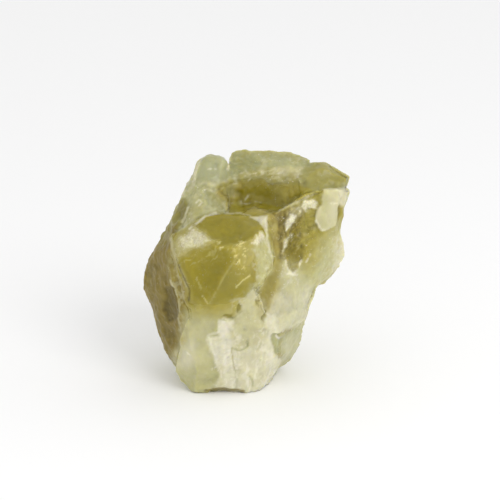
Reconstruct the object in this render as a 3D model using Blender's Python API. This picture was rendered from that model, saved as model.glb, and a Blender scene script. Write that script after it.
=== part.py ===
"""Green calcite: one rough lump of massive calcite, broken from its vein and standing on a broken face.

Run it with  blender --background --python part.py,  or from Blender's text editor.

The lump is made the way it broke. Convex blocks, each spanned by a few corner points, have flakes
struck off them and are fused into one mass, and the foot is cut flat where the lump stands.
Metres, +Z up, the origin on the ground below the middle of the lump, its front towards -Y.
"""

import math

import bmesh
import bpy
from mathutils import Vector

MM = 0.001

# Most corners are laid out on a drawing board that leans back by LEAN and meets the ground BOARD_Y
# in front of the depth datum: across the board, up the board, and then the true depth behind the
# datum. The datum stands DATUM_Y in front of the middle of the lump.
LEAN = math.radians(20.0)
BOARD_Y = 9.0
DATUM_Y = 3.5

BALL_ROUNDS = 4  # how often the faces of a flake's ball are halved
LOBE_ROUNDS = 3
GROUND_SIZE = 80.0 * MM
GROUND_DEPTH = 10.0 * MM

# name: corners as (across, up, back) in millimetres on the leaning board
FRONT_BLOCKS = {
    "trunk": [
        (-12.0, -1.0, -8.0), (-8.5, -1.0, -7.6), (-1.0, -1.2, -8.6), (4.0, 0.0, -6.5), (7.0, 2.8, 2.0),
        (8.0, 5.2, 9.0), (-2.0, 6.2, 12.0), (-14.0, 5.8, 11.0), (-17.0, 4.1, 6.0),
        (-13.0, 19.0, -11.0), (2.0, 17.0, -10.8), (7.0, 26.0, -7.0), (14.5, 24.0, -2.0),
        (-19.0, 22.0, -1.0), (-23.5, 24.0, 6.0), (-21.0, 24.0, 14.0), (-8.0, 26.0, 19.0),
        (8.0, 26.0, 18.0), (15.0, 27.0, 12.0), (-18.5, 38.0, -2.0), (-21.0, 37.0, 6.0),
        (-16.0, 41.0, 14.0), (0.0, 44.0, 17.0), (14.0, 42.0, 14.0), (17.0, 40.0, 4.0),
        (10.0, 39.0, -3.0), (-10.0, 38.0, -8.0),
    ],
    "left_slab": [
        (-26.3, 30.5, 3.0), (-26.3, 26.5, 4.0), (-24.8, 22.2, 3.5), (-22.8, 17.8, 3.0),
        (-21.8, 14.0, 3.0), (-20.6, 9.6, 3.0), (-18.4, 6.0, 4.0), (-23.3, 37.0, 3.0),
        (-20.0, 41.5, 2.0), (-19.0, 44.9, 2.5), (-19.4, 38.5, -5.5), (-19.6, 33.0, -6.5),
        (-18.9, 26.0, -7.2), (-17.4, 20.5, -8.0), (-16.6, 14.8, -8.0), (-17.6, 9.0, -5.5),
        (-14.5, 28.0, -9.0), (-14.0, 20.0, -9.5), (-24.0, 31.0, 12.0), (-20.0, 19.0, 12.0),
        (-16.0, 9.0, 10.0), (-18.0, 44.0, 10.0),
    ],
    "slab_edge": [
        (-19.6, 41.0, -4.0), (-19.3, 44.6, 1.0), (-17.6, 47.2, 2.0), (-15.2, 48.6, 1.0),
        (-15.2, 44.0, -4.5), (-16.8, 41.4, -5.5), (-14.0, 42.0, 4.0), (-15.0, 47.0, 8.0),
        (-19.5, 38.0, 0.0), (-16.0, 38.0, -4.0),
    ],
    "front_block": [
        (-19.1, 39.5, -6.5), (-16.6, 41.3, -7.5), (-13.4, 43.0, -7.5), (-10.4, 44.3, -6.5),
        (-5.6, 45.0, -5.5), (0.6, 44.3, -5.5), (4.6, 44.1, -5.5), (-16.6, 36.0, -11.5),
        (-13.1, 37.0, -13.0), (-10.1, 39.5, -12.8), (-6.6, 37.6, -14.5), (-1.9, 37.6, -14.8),
        (2.6, 40.3, -11.5), (4.9, 40.3, -8.5), (5.4, 36.0, -9.5), (6.6, 31.5, -9.8),
        (3.6, 27.5, -11.8), (2.1, 34.0, -13.6), (1.9, 27.8, -13.4), (-3.1, 35.0, -15.6),
        (-9.6, 23.5, -15.2), (-14.4, 18.8, -11.8), (-10.1, 18.8, -13.2), (-6.4, 19.3, -13.3),
        (-1.9, 22.8, -13.6), (-0.4, 24.5, -13.6), (-19.1, 35.8, -8.5), (-17.6, 32.8, -10.8),
        (-15.1, 27.5, -12.3), (-14.1, 23.5, -12.8), (-16.0, 36.0, 0.0), (4.0, 36.0, 0.0),
        (-4.0, 22.0, -2.0), (-12.0, 42.0, 0.0),
    ],
    "rear_ridge": [
        (-4.4, 58.8, 9.0), (-4.1, 60.6, 10.5), (-3.1, 61.2, 11.0), (1.6, 60.3, 11.5),
        (5.6, 60.2, 12.0), (9.4, 60.9, 12.0), (13.4, 60.0, 11.0), (16.0, 58.6, 10.0),
        (-4.6, 54.0, 5.0), (2.0, 55.0, 4.6), (10.0, 55.0, 4.4), (14.0, 54.2, 3.6),
        (-5.6, 42.0, 0.6), (4.0, 41.0, 0.2), (13.0, 43.0, 0.0), (-4.0, 53.0, 15.0),
        (12.0, 54.0, 17.0), (0.0, 42.0, 18.0), (-6.0, 44.0, 10.0),
    ],
    "right_knob": [
        (16.6, 57.9, 9.0), (19.8, 58.1, 9.0), (23.4, 56.1, 7.0), (25.6, 54.6, 5.0),
        (25.8, 52.6, 3.5), (24.8, 51.0, 0.5), (22.6, 50.6, -0.5), (19.0, 51.0, -1.0),
        (16.8, 52.0, 0.0), (12.5, 57.4, 8.0), (12.8, 53.6, 2.5), (14.0, 48.0, 12.0),
        (24.0, 50.0, 11.0), (20.0, 46.0, 14.0), (16.0, 44.0, 4.0), (20.0, 55.5, 2.6),
    ],
    "right_wall": [
        (6.9, 45.0, -4.2), (9.4, 46.3, -3.2), (13.1, 48.3, -1.8), (17.1, 51.0, -1.2),
        (22.9, 50.8, 0.0), (26.0, 51.3, 2.0), (25.5, 49.3, 2.0), (24.8, 47.3, 2.0),
        (24.0, 44.0, 2.0), (23.1, 41.0, 2.0), (18.6, 47.3, -1.6), (17.1, 45.5, -2.4),
        (16.9, 43.0, -2.8), (18.1, 40.8, -2.8), (22.1, 42.3, -0.5), (23.4, 48.5, 0.6),
        (13.9, 41.5, -4.0), (9.4, 41.3, -5.0), (6.6, 38.5, -5.2), (13.9, 36.0, -4.6),
        (11.1, 30.5, -6.4), (18.1, 36.0, -3.0), (18.1, 29.0, -1.0), (13.9, 27.3, -3.5),
        (8.0, 30.0, 5.0), (18.0, 30.0, 10.0), (22.0, 44.0, 12.0), (10.0, 46.0, 8.0),
    ],
    "right_lobe": [
        (23.3, 40.5, 2.0), (24.2, 37.8, 2.5), (24.3, 34.8, 3.0), (23.6, 32.0, 3.5),
        (22.1, 29.5, 3.5), (21.2, 28.9, 4.0), (19.6, 29.1, 1.5), (17.9, 28.0, 0.0),
        (18.6, 40.0, -2.6), (17.2, 35.0, -4.4), (15.6, 30.0, -4.2), (16.2, 27.0, -2.0),
        (14.0, 34.0, 6.0), (22.0, 40.0, 12.0), (20.0, 33.0, 12.0), (15.0, 24.5, 4.0),
        (20.0, 42.0, 0.0),
    ],
    "right_foot": [
        (9.9, 33.0, -7.5), (8.9, 29.8, -9.0), (8.1, 26.0, -9.6), (6.6, 22.3, -10.2),
        (5.0, 20.0, -10.9), (4.1, 18.8, -11.2), (4.4, 16.4, -11.4), (6.4, 15.4, -10.6),
        (8.4, 15.6, -9.4), (11.6, 16.6, -5.5), (14.4, 17.9, -1.5), (15.4, 20.5, -0.5),
        (16.1, 24.1, -1.0), (17.6, 26.4, -0.5), (16.4, 29.5, -2.5), (13.1, 30.8, -5.6),
        (8.0, 20.0, 6.0), (3.0, 18.0, -4.0), (12.0, 28.0, 4.0),
    ],
    "right_heel": [
        (5.0, 17.5, -10.4), (9.0, 17.5, -8.2), (6.9, 10.5, -8.8), (8.1, 11.0, -7.2),
        (9.3, 6.8, 1.0), (11.3, 8.1, 3.5), (12.3, 9.9, 3.5), (13.3, 12.3, 3.0),
        (14.2, 15.5, 2.0), (14.9, 19.0, 1.0), (5.6, 1.7, -4.5), (2.9, 0.0, -7.5),
        (7.3, 3.6, 0.5), (8.4, 5.8, 7.0), (0.0, 12.0, -4.0), (4.0, 18.0, 4.0),
    ],
    "left_foot": [
        (-15.0, 19.5, -11.2), (-9.0, 19.4, -12.9), (-16.2, 15.0, -9.8), (-17.0, 11.0, -8.6),
        (-17.7, 8.0, -7.4), (-18.0, 6.0, -5.6), (-16.8, 3.4, -6.0), (-14.0, -0.2, -8.2),
        (-13.0, -1.0, -9.0), (-10.8, -0.8, -9.2), (-8.6, 1.2, -9.8), (-7.4, 5.0, -10.9),
        (-8.2, 10.5, -12.1), (-9.4, 15.0, -13.0), (-13.2, 12.0, -12.5), (-12.6, 5.0, -11.4),
        (-10.0, 10.0, 0.0), (-14.0, 5.0, 0.0),
    ],
    "skirt": [
        (-10.0, 19.5, -12.9), (-2.0, 19.5, -12.9), (6.4, 18.5, -10.9), (7.8, 12.0, -8.9),
        (-9.0, 1.3, -9.3), (-4.0, 0.9, -9.3), (-0.6, 0.0, -9.3), (3.0, 0.2, -7.9),
        (6.4, 2.6, -5.0), (-6.0, 18.0, -2.0), (4.0, 16.0, -2.0), (-1.0, 22.0, -12.9),
    ],
    "plate_left": [
        (-7.6, 18.2, -13.1), (-3.2, 18.8, -12.9), (-3.3, 11.8, -11.9), (-3.4, 1.0, -9.6),
        (-7.6, 1.3, -9.9), (-9.8, 10.0, -11.4), (-10.2, 15.2, -12.0), (-6.2, 12.0, -12.5),
        (-5.6, 5.0, -11.2), (-6.0, 17.0, -6.0), (-6.0, 3.0, -6.0),
    ],
    "plate_middle": [
        (-3.7, 11.6, -11.3), (4.2, 12.8, -10.6), (5.6, 5.0, -8.0), (3.6, 0.8, -8.2),
        (-0.5, 0.1, -9.6), (-3.2, 0.6, -9.6), (-1.0, 8.0, -11.2), (1.6, 5.0, -10.2),
        (0.0, 10.0, -5.0), (0.0, 3.0, -5.0),
    ],
    "tongue": [
        (0.2, 27.0, -13.2), (3.4, 25.2, -12.4), (5.4, 18.5, -11.2), (4.6, 12.3, -10.6),
        (0.0, 11.0, -11.7), (-3.4, 11.6, -11.9), (-4.6, 15.4, -12.4), (-4.0, 19.6, -13.2),
        (-1.4, 22.2, -13.6), (0.6, 17.0, -12.9), (0.0, 20.0, -5.0), (0.0, 13.0, -5.0),
    ],
    "left_slope": [
        (-19.6, 41.5, 1.0), (-18.9, 44.8, 2.0), (-17.4, 47.5, 2.5), (-16.8, 49.8, 3.0),
        (-16.1, 51.8, 3.5), (-15.2, 54.0, 4.0), (-13.9, 55.7, 5.0), (-13.4, 42.5, -7.2),
        (-16.2, 42.0, -5.6), (-9.0, 45.5, -4.0), (-5.4, 46.0, -2.0), (-5.0, 49.5, 2.0),
        (-12.0, 49.0, -3.0), (-9.0, 52.0, 0.0), (-15.0, 46.0, -3.5), (-16.0, 51.0, 12.0),
        (-10.0, 55.0, 12.0), (-5.0, 52.0, 10.0), (-18.0, 44.0, 10.0),
    ],
    "waist": [
        (-10.0, 44.0, -5.0), (5.0, 44.3, -5.0), (7.5, 44.3, -4.4), (12.0, 46.0, 2.0),
        (-8.0, 47.5, 5.0), (4.0, 46.8, 4.5), (13.0, 48.0, 10.0), (-6.0, 50.0, 14.0),
        (10.0, 34.0, -6.0), (14.0, 28.0, 0.0), (-14.0, 34.0, -6.0), (0.0, 30.0, 12.0),
        (8.0, 28.0, -7.5), (6.8, 38.5, -6.8),
    ],
}

# name: corners as (across, back, height) in millimetres, without the board
BACK_BLOCKS = {
    "back_left": [
        (-16.0, 13.0, 6.0), (-20.5, 12.0, 20.0), (-23.5, 9.0, 33.0), (-17.0, 18.0, 18.0),
        (-15.0, 19.5, 33.0), (-5.0, 20.0, 34.0), (-9.0, 18.0, 8.0), (-18.5, 13.0, 43.0),
        (-7.0, 17.0, 48.0), (-18.0, 2.0, 20.0), (-18.0, 2.0, 36.0), (2.0, 6.0, 8.0),
        (2.0, 6.0, 46.0),
    ],
    "back_right": [
        (12.0, 12.0, 9.0), (17.0, 14.0, 25.0), (20.5, 13.0, 36.0), (22.5, 9.0, 42.0),
        (11.0, 19.0, 24.0), (13.0, 18.5, 41.0), (5.0, 19.0, 18.0), (3.0, 16.0, 8.0),
        (18.0, 4.0, 28.0), (-2.0, 4.0, 14.0), (-2.0, 4.0, 42.0), (10.0, 14.0, 49.0),
    ],
    "back_top": [
        (-9.0, 16.5, 49.5), (-2.0, 18.5, 51.0), (8.0, 19.0, 49.0), (12.0, 16.0, 48.0),
        (10.0, 20.5, 38.0), (-4.0, 21.5, 37.0), (2.0, 21.0, 31.0), (-12.0, 8.0, 28.0),
        (14.0, 8.0, 28.0), (13.0, 8.0, 50.0), (-11.0, 8.0, 49.0),
    ],
    "back_step": [
        (-10.0, 20.0, 14.5), (-2.0, 20.5, 11.5), (5.0, 19.5, 15.0), (5.0, 21.5, 26.0),
        (-1.0, 22.5, 28.0), (-8.0, 22.0, 25.0), (-15.0, 8.0, 10.0), (10.0, 8.0, 10.0),
        (11.0, 8.0, 33.0), (-14.0, 8.0, 34.0),
    ],
    "back_foot": [
        (-10.0, 14.0, 1.0), (3.0, 14.5, 1.5), (7.0, 12.5, 6.0), (2.0, 17.5, 12.0),
        (-9.0, 18.0, 13.0), (-14.0, 13.0, 6.0), (-13.0, 4.0, 3.0), (7.0, 4.0, 6.0),
    ],
}

# Rounded lobes. name: middle on the board, half sizes, and corners on the board that each runs out to
LOBES = {
    "dome": (
        (-9.1, 54.6, 6.0), (4.9, 5.2, 5.4),
        [(-16.0, 51.4, 3.6), (-15.2, 54.0, 5.0), (-15.6, 48.0, 1.2), (-12.9, 57.4, 7.4), (-9.0, 48.0, -1.0),
         (-5.0, 51.0, 2.6)],
    ),
    "brow": (
        (-8.4, 49.0, 1.6), (3.6, 3.4, 3.2),
        [(-14.6, 46.6, -1.2), (-12.8, 44.2, -5.0), (-5.0, 45.8, -1.6), (-4.8, 48.8, 2.6)],
    ),
}

# Flat breaks: all of one block that lies beyond a plane is gone. A place on the plane, on the
# board, and the way the plane faces (x, y, z).
BREAKS = {
    "front_block": [
        ((-10.0, 31.0, -14.2), (-0.27, -0.95, 0.14)),
        ((-0.8, 28.5, -14.2), (0.36, -0.92, -0.14)),
        ((-15.0, 39.2, -9.8), (-0.38, -0.62, 0.68)),
        ((4.4, 33.0, -11.2), (0.70, -0.70, 0.05)),
    ],
    "dome": [((-8.4, 53.6, 1.9), (-0.12, -0.90, 0.42)), ((-13.6, 53.0, 3.0), (-0.80, -0.50, 0.34))],
    "brow": [((-8.0, 49.6, -0.9), (0.10, -0.90, 0.42))],
    "left_foot": [((-12.4, 9.0, -12.0), (-0.20, -0.97, 0.04))],
    "plate_left": [((-5.8, 10.0, -11.8), (0.05, -0.99, -0.12))],
    "plate_middle": [((1.0, 6.0, -10.3), (0.16, -0.98, -0.10))],
    "tongue": [((0.4, 17.6, -12.5), (0.14, -0.98, -0.14))],
    "left_slab": [((-21.4, 27.0, -3.4), (-0.84, -0.54, 0.02))],
    "back_left": [((-12.0, 40.0, 19.2), (-0.20, 0.97, 0.10)), ((-21.6, 36.0, 12.0), (-0.86, 0.46, 0.22))],
    "back_right": [((13.0, 40.0, 18.4), (0.30, 0.94, 0.10)), ((18.5, 42.0, 13.0), (0.80, 0.55, -0.20))],
    "back_top": [((2.0, 52.0, 20.4), (0.06, 0.98, 0.20))],
    "back_step": [((-2.0, 30.0, 21.6), (-0.04, 0.99, -0.12))],
}

# Flakes that broke away from one block each: a place on the block's skin, on the board, the way
# the skin faces there (x, y, z), the radius of the hollow's ball and how deep it bites.
FLAKES = {
    "front_block": [
        ((-4.9, 41.4, -10.4), (0.0, -0.58, 0.81), 26.0, 1.2),
        ((-10.4, 30.6, -14.1), (-0.27, -0.95, 0.14), 38.0, 0.7),
    ],
    "rear_ridge": [
        ((3.0, 46.6, 1.8), (0.03, -0.94, 0.33), 15.0, 3.0),
        ((9.0, 48.6, 2.4), (0.16, -0.92, 0.34), 14.0, 2.2),
    ],
    "left_slab": [((-18.4, 15.0, -4.5), (-0.80, -0.60, -0.10), 24.0, 0.7)],
    "right_foot": [((10.2, 24.0, -7.4), (0.52, -0.85, 0.08), 36.0, 0.7)],
    "right_wall": [((11.0, 38.0, -5.0), (0.10, -0.98, 0.10), 26.0, 0.9)],
    "right_knob": [((19.6, 54.6, 3.4), (0.10, -0.85, 0.50), 40.0, 0.5)],
    "back_left": [((-15.0, 32.0, 17.6), (-0.50, 0.86, 0.05), 26.0, 1.0)],
    "back_right": [((14.0, 36.0, 17.0), (0.52, 0.85, 0.05), 24.0, 1.0)],
    "back_top": [((-4.0, 50.0, 20.0), (-0.25, 0.95, 0.18), 30.0, 0.8)],
}


def seen(across, up, back):
    """The place, in metres, of a point given on the leaning board."""
    return plain(across, back, (up - (back + BOARD_Y) * math.sin(LEAN)) / math.cos(LEAN))


def plain(across, back, height):
    return Vector((across, back - DATUM_Y, height)) * MM


def clear_scene():
    for thing in list(bpy.data.objects):
        bpy.data.objects.remove(thing)


def new_object(name, mesh):
    data = bpy.data.meshes.new(name)
    mesh.to_mesh(data)
    mesh.free()
    thing = bpy.data.objects.new(name, data)
    bpy.context.scene.collection.objects.link(thing)
    return thing


def span(points):
    """The mesh of the convex block that these points span."""
    mesh = bmesh.new()
    corners = [mesh.verts.new(point) for point in points]
    found = bmesh.ops.convex_hull(mesh, input=corners)
    spare = [v for v in found["geom_interior"] if isinstance(v, bmesh.types.BMVert)]
    bmesh.ops.delete(mesh, geom=spare, context="VERTS")
    return mesh


def hull(name, points):
    """A convex block, without what its flat breaks took away."""
    mesh = span(points)
    for place, facing in BREAKS.get(name, []):
        whole = list(mesh.verts) + list(mesh.edges) + list(mesh.faces)
        bmesh.ops.bisect_plane(mesh, geom=whole, plane_co=seen(*place), plane_no=facing, clear_outer=True)
        left = [v.co.copy() for v in mesh.verts]
        mesh.free()
        mesh = span(left)
    return new_object(name, mesh)


def ball_points(middle, half_sizes, rounds):
    mesh = bmesh.new()
    bmesh.ops.create_icosphere(mesh, subdivisions=rounds, radius=1.0)
    points = [middle + v.co * half_sizes for v in mesh.verts]
    mesh.free()
    return points


def lobe(name, middle, half_sizes, runs_to):
    """A rounded lump whose skin runs out to a few corners beside it."""
    points = ball_points(seen(*middle), Vector(half_sizes) * MM, LOBE_ROUNDS)
    return hull(name, points + [seen(*corner) for corner in runs_to])


def strike_flakes(block, flakes):
    """Cuts the hollows of these flakes from one block."""
    balls = []
    for number, (place, facing, radius, bite) in enumerate(flakes, 1):
        middle = seen(*place) + Vector(facing).normalized() * (radius - bite) * MM
        skin = ball_points(middle, Vector((radius, radius, radius)) * MM, BALL_ROUNDS)
        balls.append(hull(f"flake_{block.name}_{number}", skin))
    add_boolean(block, "flakes", "DIFFERENCE", put_aside("flakes_" + block.name, balls))


def make_blocks():
    blocks = [hull(name, [seen(*corner) for corner in corners]) for name, corners in FRONT_BLOCKS.items()]
    blocks += [hull(name, [plain(*corner) for corner in corners]) for name, corners in BACK_BLOCKS.items()]
    blocks += [lobe(name, *shape) for name, shape in LOBES.items()]
    for block in blocks:
        if block.name in FLAKES:
            strike_flakes(block, FLAKES[block.name])
    return blocks


def make_ground():
    """A slab under the ground, which cuts the foot flat."""
    mesh = bmesh.new()
    slab = bmesh.ops.create_cube(mesh, size=1.0)["verts"]
    bmesh.ops.scale(mesh, vec=(GROUND_SIZE, GROUND_SIZE, GROUND_DEPTH), verts=slab)
    bmesh.ops.translate(mesh, vec=(0.0, 0.0, -GROUND_DEPTH / 2), verts=slab)
    return new_object("ground", mesh)


def put_aside(name, helpers):
    """Moves helpers to a collection of their own, out of the render."""
    group = bpy.data.collections.new(name)
    bpy.context.scene.collection.children.link(group)
    for helper in helpers:
        bpy.context.scene.collection.objects.unlink(helper)
        group.objects.link(helper)
        helper.hide_render = True
        helper.display_type = "WIRE"
    return group


def add_boolean(thing, name, operation, group):
    step = thing.modifiers.new(name, "BOOLEAN")
    step.operation = operation
    step.operand_type = "COLLECTION"
    step.collection = group
    step.solver = "EXACT"


def stone_finish():
    finish = bpy.data.materials.new("green_calcite")
    finish.use_nodes = True
    surface = finish.node_tree.nodes["Principled BSDF"]
    surface.inputs["Base Color"].default_value = (0.47, 0.47, 0.22, 1.0)
    surface.inputs["Roughness"].default_value = 0.35
    surface.inputs["Metallic"].default_value = 0.0
    return finish


def main():
    clear_scene()
    blocks = make_blocks()
    stone = blocks.pop(0)
    stone.name = "calcite"
    add_boolean(stone, "fuse", "UNION", put_aside("blocks", blocks))
    add_boolean(stone, "foot", "DIFFERENCE", put_aside("below", [make_ground()]))
    stone.data.materials.append(stone_finish())
    return stone


main()
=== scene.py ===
# %% [markdown]
# # A lump of green calcite
# Green calcite is a soft, waxy to glassy mineral. This piece was broken out of its vein, so it has no
# crystal shape of its own: it is a stack of broken faces, clear and olive where the stone is sound, and
# cream or frosty white where it is bruised. The lesson takes the plain solid that gives the lump its size
# and big faces, lays a fine skin over it, stains it place by place, and carves the small breaks.

# %% open the plain solid
import itertools
import math

import bpy
import numpy as np
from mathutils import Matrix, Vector
from mathutils.kdtree import KDTree


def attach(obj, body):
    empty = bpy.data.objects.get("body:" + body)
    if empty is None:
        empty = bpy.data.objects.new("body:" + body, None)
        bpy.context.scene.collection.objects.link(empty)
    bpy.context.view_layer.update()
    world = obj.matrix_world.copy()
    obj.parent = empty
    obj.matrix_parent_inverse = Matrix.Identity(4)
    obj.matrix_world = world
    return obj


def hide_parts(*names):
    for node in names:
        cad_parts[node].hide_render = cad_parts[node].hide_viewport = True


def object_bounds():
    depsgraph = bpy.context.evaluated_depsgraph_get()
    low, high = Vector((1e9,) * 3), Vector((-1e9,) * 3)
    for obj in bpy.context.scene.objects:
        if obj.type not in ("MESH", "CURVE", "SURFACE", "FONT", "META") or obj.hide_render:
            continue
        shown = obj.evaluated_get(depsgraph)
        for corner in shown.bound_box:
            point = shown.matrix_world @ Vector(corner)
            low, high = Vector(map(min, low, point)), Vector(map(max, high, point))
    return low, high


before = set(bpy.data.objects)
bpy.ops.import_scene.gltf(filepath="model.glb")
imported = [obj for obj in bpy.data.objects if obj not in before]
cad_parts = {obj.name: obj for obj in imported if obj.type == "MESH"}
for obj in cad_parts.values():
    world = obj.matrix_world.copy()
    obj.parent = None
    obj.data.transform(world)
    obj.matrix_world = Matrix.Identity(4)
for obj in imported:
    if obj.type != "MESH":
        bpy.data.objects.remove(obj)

MM = 0.001
plain_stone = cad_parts["calcite"]
plain_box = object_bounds()
print("plain solid:", len(plain_stone.data.polygons), "faces, box in mm",
      [[round(v / MM, 1) for v in corner] for corner in plain_box])

# %% [markdown]
# ## A fine, even skin
# The plain solid has a few thousand long faces, too coarse to carve. A voxel Remesh lays an even net
# over it, and a Shrinkwrap pulls that net back onto the broken faces, so that their edges stay sharp.

# %% lay the skin
SKIN_VOXEL = 0.36 * MM


def lay_skin(solid, name):
    draft = bpy.data.objects.new("draft", solid.data)
    bpy.context.scene.collection.objects.link(draft)
    net = draft.modifiers.new("net", "REMESH")
    net.mode = "VOXEL"
    net.voxel_size = SKIN_VOXEL
    pull = draft.modifiers.new("pull", "SHRINKWRAP")
    pull.target = solid
    pull.wrap_method = "NEAREST_SURFACEPOINT"
    graph = bpy.context.evaluated_depsgraph_get()
    mesh = bpy.data.meshes.new_from_object(draft.evaluated_get(graph))
    bpy.data.objects.remove(draft)
    mesh.name = name
    stone = bpy.data.objects.new(name, mesh)
    bpy.context.scene.collection.objects.link(stone)
    return stone


stone = lay_skin(plain_stone, "calcite_stone")
skin = stone.data
COUNT = len(skin.vertices)
print("skin:", COUNT, "points,", len(skin.polygons), "faces")

# %% [markdown]
# ## Reading the skin
# Carving and staining both need to know how the skin lies: which way it faces, and where it folds out
# into an edge or in into a corner. Averaging each point with its neighbours a few times gives a softened
# copy, and how far a point stands out from that copy is how sharp an edge it is on.

# %% the neighbours of each point
ENDS = np.empty(len(skin.edges) * 2, np.int64)
skin.edges.foreach_get("vertices", ENDS)
ENDS = ENDS.reshape(-1, 2)
JOINED = np.bincount(ENDS.reshape(-1), minlength=COUNT)


def soften(values, rounds):
    """Each point's values averaged with its neighbours', so many times over."""
    for _ in range(rounds):
        columns = []
        for column in values.reshape(COUNT, -1).T:
            beside = np.bincount(ENDS[:, 0], column[ENDS[:, 1]], COUNT)
            beside += np.bincount(ENDS[:, 1], column[ENDS[:, 0]], COUNT)
            columns.append(0.5 * column + 0.5 * beside / JOINED)
        values = np.stack(columns, axis=1).reshape(values.shape)
    return values


print("neighbours of a point:", JOINED.min(), "to", JOINED.max())


# %% where the skin lies and how it faces
def read_points():
    points = np.empty(COUNT * 3)
    skin.vertices.foreach_get("co", points)
    return points.reshape(-1, 3) / MM


def move_points(points):
    skin.vertices.foreach_set("co", (points * MM).reshape(-1))
    skin.update()


def read_facing(rounds):
    facing = np.empty(COUNT * 3)
    skin.vertices.foreach_get("normal", facing)
    facing = soften(facing.reshape(-1, 3), rounds)
    return facing / np.linalg.norm(facing, axis=1, keepdims=True)


def standing_out(points, rounds):
    """How far each point stands out from the softened skin, in mm: an edge above 0, a crease below."""
    return ((points - soften(points, rounds)) * read_facing(2)).sum(1)


def ease(low, high, values):
    """0 at low, 1 at high, and a smooth rise between."""
    part = np.clip((values - low) / (high - low), 0.0, 1.0)
    return part * part * (3.0 - 2.0 * part)


print("middle of the skin in mm:", read_points().mean(0).round(1))

# %% [markdown]
# ## The stone's grain
# Nothing in a broken stone repeats, so its chips and clouds come from noise. This is the classic kind:
# random slopes on a lattice, blended smoothly between the lattice points. Adding finer and fainter
# copies gives cloudy noise, and splinters come from random seeds that each own the skin nearest to them.

# %% cloudy noise
LATTICE = 256  # cells, after which the lattice repeats
FINER = 2.03  # each copy against the one before
COPY_SHIFT = 5.7
SEED_SHIFT = 17.31
DICE = np.random.default_rng(11)
SLOPES = DICE.normal(size=(LATTICE, 3))
SLOPES /= np.linalg.norm(SLOPES, axis=1, keepdims=True)
ORDER = DICE.permutation(LATTICE)


def lattice(at):
    """Smooth noise with puffs one unit wide, stretched to about -1 to 1."""
    cell = np.floor(at).astype(np.int64)
    part = at - cell
    blend = part ** 3 * (part * (part * 6.0 - 15.0) + 10.0)
    total = np.zeros(len(at))
    for corner in itertools.product((0, 1), repeat=3):
        i, j, k = ((cell + corner) % LATTICE).T
        slope = SLOPES[ORDER[(ORDER[(ORDER[i] + j) % LATTICE] + k) % LATTICE]]
        share = np.prod(np.where(corner, blend, 1.0 - blend), axis=1)
        total += share * ((part - corner) * slope).sum(1)
    return total * 1.6


def clouds(at, size, seed, rounds=3, stretch=(1.0, 1.0, 1.0)):
    """Cloudy noise, about -1 to 1; size is the width of its largest puffs in mm."""
    at = at / (size * np.array(stretch)) + seed * SEED_SHIFT
    return sum(lattice(at * FINER ** n + n * COPY_SHIFT) * 0.5 ** n for n in range(rounds))


print("noise at three points:", clouds(read_points()[:3], 5.0, 1).round(2))

# %% chips and steps
TREAD_SLOPE = 0.2  # how far a slope reaches to each side of a step's middle, in steps


def patches(at, size, seed, count=1):
    """The random seeds nearest to each place, nearest first, and a number for each seed."""
    dice = np.random.default_rng(seed)
    at = at / size
    low, high = at.min(0) - 0.5, at.max(0) + 0.5
    seeds = low + dice.random((int(np.prod(high - low)), 3)) * (high - low)
    tree = KDTree(len(seeds))
    for number, seed_point in enumerate(seeds):
        tree.insert(seed_point, number)
    tree.balance()
    nearest = np.array([[found[1] for found in tree.find_n(place, count)] for place in at])
    return nearest, dice.random(len(seeds))


def splinters(at, size, seed):
    """The height of chips with tilted faces, about -0.6 to 0.6."""
    owner = patches(at, size, seed)[0][:, 0]
    held = np.maximum(np.bincount(owner), 1)
    middle = np.stack([np.bincount(owner, column) for column in at.T], axis=1) / held[:, None]
    tilts = np.random.default_rng(seed + 1).normal(size=middle.shape)
    tilts /= np.linalg.norm(tilts, axis=1, keepdims=True)
    return ((at - middle[owner]) * tilts[owner]).sum(1) / size


def terrace(values):
    """Values turned into steps, with a short slope between treads."""
    whole = np.floor(values)
    return whole + ease(0.5 - TREAD_SLOPE, 0.5 + TREAD_SLOPE, values - whole)


print("0.2, 0.5 and 1.6 as steps:", terrace(np.array([0.2, 0.5, 1.6])).round(2))

# %% [markdown]
# ## The drawing board
# Most of this stone's markings are easiest to place on a flat board that leans back by 20 degrees in
# front of it, the way one looks down at a piece on a shelf. The board is ruled in squares of a quarter
# of a millimetre, counted from its top left corner, and its lower edge runs along the ground. An outline
# or a path on it is written as its corners, "across,down across,down" and so on.

# %% the board's rulings
LEAN = math.radians(20.0)
SQUARE = 0.25  # mm
MIDDLE_SQUARE = 247.5
GROUND_SQUARE = 394.0
BOARD_FRONT = 12.5  # mm in front of the lump's middle, where the board meets the ground
TOWARDS_EYE = np.array([0.0, -math.cos(LEAN), math.sin(LEAN)])


def on_board(places):
    """Where places, in mm, show on the board: squares across and squares down."""
    up = places[:, 2] * math.cos(LEAN) + (places[:, 1] + BOARD_FRONT) * math.sin(LEAN)
    return np.stack([MIDDLE_SQUARE + places[:, 0] / SQUARE, GROUND_SQUARE - up / SQUARE], axis=1)


def corners(text):
    return [tuple(float(number) for number in pair.split(",")) for pair in text.split()]


print("the lump's box shows on the board at", on_board(np.array(plain_box) / MM).round(0).tolist())


# %% how far a place is from a line
def distance_to(path, places):
    nearest = np.full(len(places), np.inf)
    for start, end in zip(path[:-1], path[1:]):
        start, run = np.array(start, float), np.subtract(end, start).astype(float)
        offset = places - start
        along = np.clip(offset @ run / (run @ run), 0.0, 1.0)
        nearest = np.minimum(nearest, np.hypot(*(offset - along[:, None] * run).T))
    return nearest


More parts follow.
